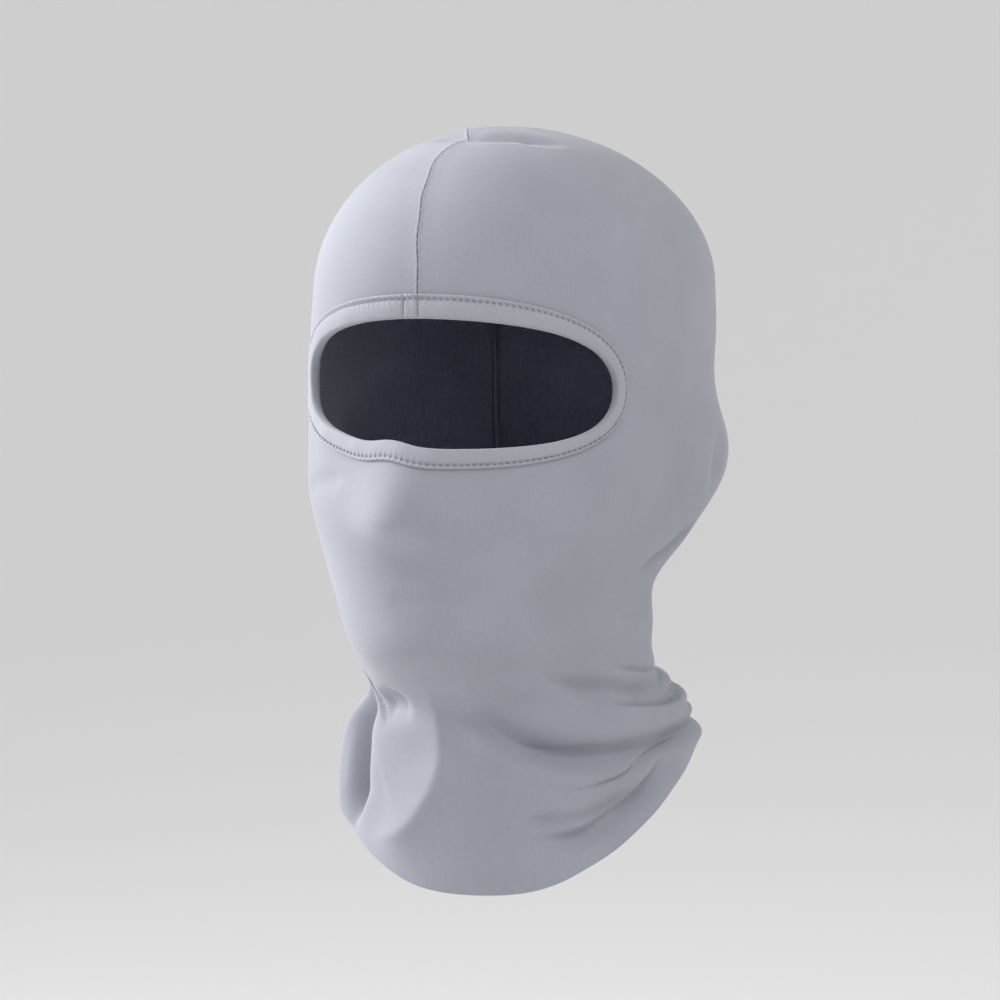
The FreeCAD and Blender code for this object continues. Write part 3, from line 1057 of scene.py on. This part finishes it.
def make_seam():
    """The puckered lips of the middle seam; their outer edges sink into the cloth."""
    middle, across, run = seam_places(LIP_PLACES)
    profile = both_sides(SEAM_LIP, SEAM_GROOVE)
    rows = []
    for offset, lift in profile:
        side = np.sign(offset)
        pucker = np.sin(2 * np.pi * run / LIP_PUCKER + 0.9 * side)
        pucker = pucker + 0.6 * np.sin(2 * np.pi * run / LONG_PUCKER + side)
        height = lift + LIP_PUCKER_DEPTH * bell(abs(offset) - 0.8, 0.4) * pucker
        rows.append(beside_middle(middle, across, offset + seam_wander(run), height))
    return seam_strip(
        "middle_seam",
        profile,
        rows,
        run,
        material=seam_knit,
        replaced=("hood_shell",),
    )


def make_seam_needle_stitches():
    """Short stitches that can be seen between the lips of the seam."""
    middle, across, run = seam_places(NEEDLE_PLACES)
    points = beside_middle(middle, across, seam_wander(run), SEAM_NEEDLE_LIFT)
    return stitches(
        "seam_needle_stitches",
        points[0:-1:2],
        points[1::2],
        SEAM_NEEDLE_RADIUS,
        material=dark_thread,
        replaced=("seam_needle_thread",),
    )


def make_seam_allowance():
    """The doubled cloth edge that stands inwards along the seam, waving a little."""
    middle, across, run = seam_places(ALLOWANCE_PLACES)
    lean = 0.6 * np.sin(run / 13.0) + 0.35 * np.sin(run / 5.1)
    profile = both_sides(ALLOWANCE_SIDE, ALLOWANCE_EDGE)
    rows = []
    for offset, lift in profile:
        sway = lean * (ALLOWANCE_ROOT - lift) / FULL_SWAY_DEPTH
        rows.append(beside_middle(middle, across, offset + sway, lift))
    return seam_strip(
        "seam_allowance_edge",
        profile,
        rows,
        run,
        material=lining_knit,
        replaced=("seam_allowance",),
    )


def make_seam_loopers():
    """The overlock threads on both sides of the allowance."""
    middle, across, _ = seam_places(LOOPER_PLACES)
    for name, side, replaced in (
        ("seam_upper_looper_stitches", 1, "seam_upper_looper_thread"),
        ("seam_lower_looper_stitches", -1, "seam_lower_looper_thread"),
    ):
        high, low = (
            beside_middle(middle, across, SEAM_LOOPER_SIDE * side, lift) for lift in SEAM_LOOPER_LIFTS
        )
        stitches(
            name,
            high[:-1],
            low[1:],
            SEAM_LOOPER_RADIUS,
            material=dark_thread,
            replaced=(replaced,),
        )


hood = make_hood()
lining = make_lining()
make_binding()
make_binding_stitches()
make_binding_looper()
make_join_stitches()
make_seam()
make_seam_needle_stitches()
make_seam_allowance()
make_seam_loopers()


# ------------------------------------------------------------------ stage, light and camera
def make_stage():
    """A pale floor that curves up into a wall all round, so that no horizon shows."""
    floor_z = -0.8
    flat_rings = (0.5, 2.0)
    flat = 5.0
    cove = 3.0
    turns = np.linspace(0, np.pi / 2, 25)
    radii = np.concatenate([flat_rings, flat + cove * np.sin(turns)])
    heights = np.concatenate([[floor_z, floor_z], floor_z + cove * (1 - np.cos(turns))])
    around = np.linspace(0, 2 * np.pi, 96, endpoint=False)
    x = radii[:, None] * np.cos(around)
    y = radii[:, None] * np.sin(around)
    z = heights[:, None] + 0 * x
    points = np.concatenate([np.stack([x, y, z], axis=-1).reshape(-1, 3), [[0, 0, floor_z]]])
    faces = [face[::-1] for face in grid_faces(len(radii), len(around), True)]
    middle = len(points) - 1
    faces += [(middle, k, (k + 1) % len(around)) for k in range(len(around))]
    mesh = bpy.data.meshes.new("floor")
    mesh.from_pydata(points.tolist(), [], faces)
    mesh.shade_smooth()
    floor = bpy.data.objects.new("floor", mesh)
    bpy.context.scene.collection.objects.link(floor)
    material, _, shader = node_material("pale_floor")
    shader.inputs["Base Color"].default_value = (0.86, 0.86, 0.86, 1)
    shader.inputs["Roughness"].default_value = 0.95
    shader.inputs["Specular IOR Level"].default_value = 0.0
    floor.data.materials.append(material)


def area_light(name, place, target, side, power):
    """A square soft light that points at a target."""
    data = bpy.data.lights.new(name, "AREA")
    data.shape = "RECTANGLE"
    data.size = side
    data.size_y = side
    data.energy = power
    light = bpy.data.objects.new(name, data)
    light.location = place
    light.rotation_euler = (Vector(target) - Vector(place)).to_track_quat("-Z", "Y").to_euler()
    bpy.context.scene.collection.objects.link(light)


def make_lights():
    """A key light from the wearer's right, a weak one from above in front, and a white studio."""
    centre = (0, 0, -0.05)
    area_light("key", place=(-1.55, -0.14, 0.66), target=centre, side=0.9, power=43)
    area_light("top", place=(0.9, -0.9, 1.5), target=centre, side=1.0, power=12)
    world = bpy.context.scene.world or bpy.data.worlds.new("studio")
    bpy.context.scene.world = world
    world.use_nodes = True
    sky = world.node_tree.nodes["Background"]
    sky.inputs["Color"].default_value = (1, 1, 1, 1)
    sky.inputs["Strength"].default_value = 0.74


def make_camera():
    """A long lens in front of the wearer, to their left and a little above the eyes."""
    azimuth = math.radians(22.5)
    elevation = math.radians(4.5)
    distance = 1.7
    sensor = 36.0
    lens_in_sensors = 4.25
    aim_right = -0.0084
    aim_up = -0.0544
    back = Vector(
        (
            math.sin(azimuth) * math.cos(elevation),
            -math.cos(azimuth) * math.cos(elevation),
            math.sin(elevation),
        )
    )
    right = Vector((math.cos(azimuth), math.sin(azimuth), 0))
    up = back.cross(right)
    data = bpy.data.cameras.new("camera")
    data.sensor_width = sensor
    data.lens = sensor * lens_in_sensors
    camera = bpy.data.objects.new("camera", data)
    camera.location = back * distance
    target = right * aim_right + up * aim_up
    camera.rotation_euler = (target - camera.location).to_track_quat("-Z", "Y").to_euler()
    bpy.context.scene.collection.objects.link(camera)
    bpy.context.scene.camera = camera


make_stage()
make_lights()
make_camera()
bpy.context.scene.view_settings.view_transform = "Standard"
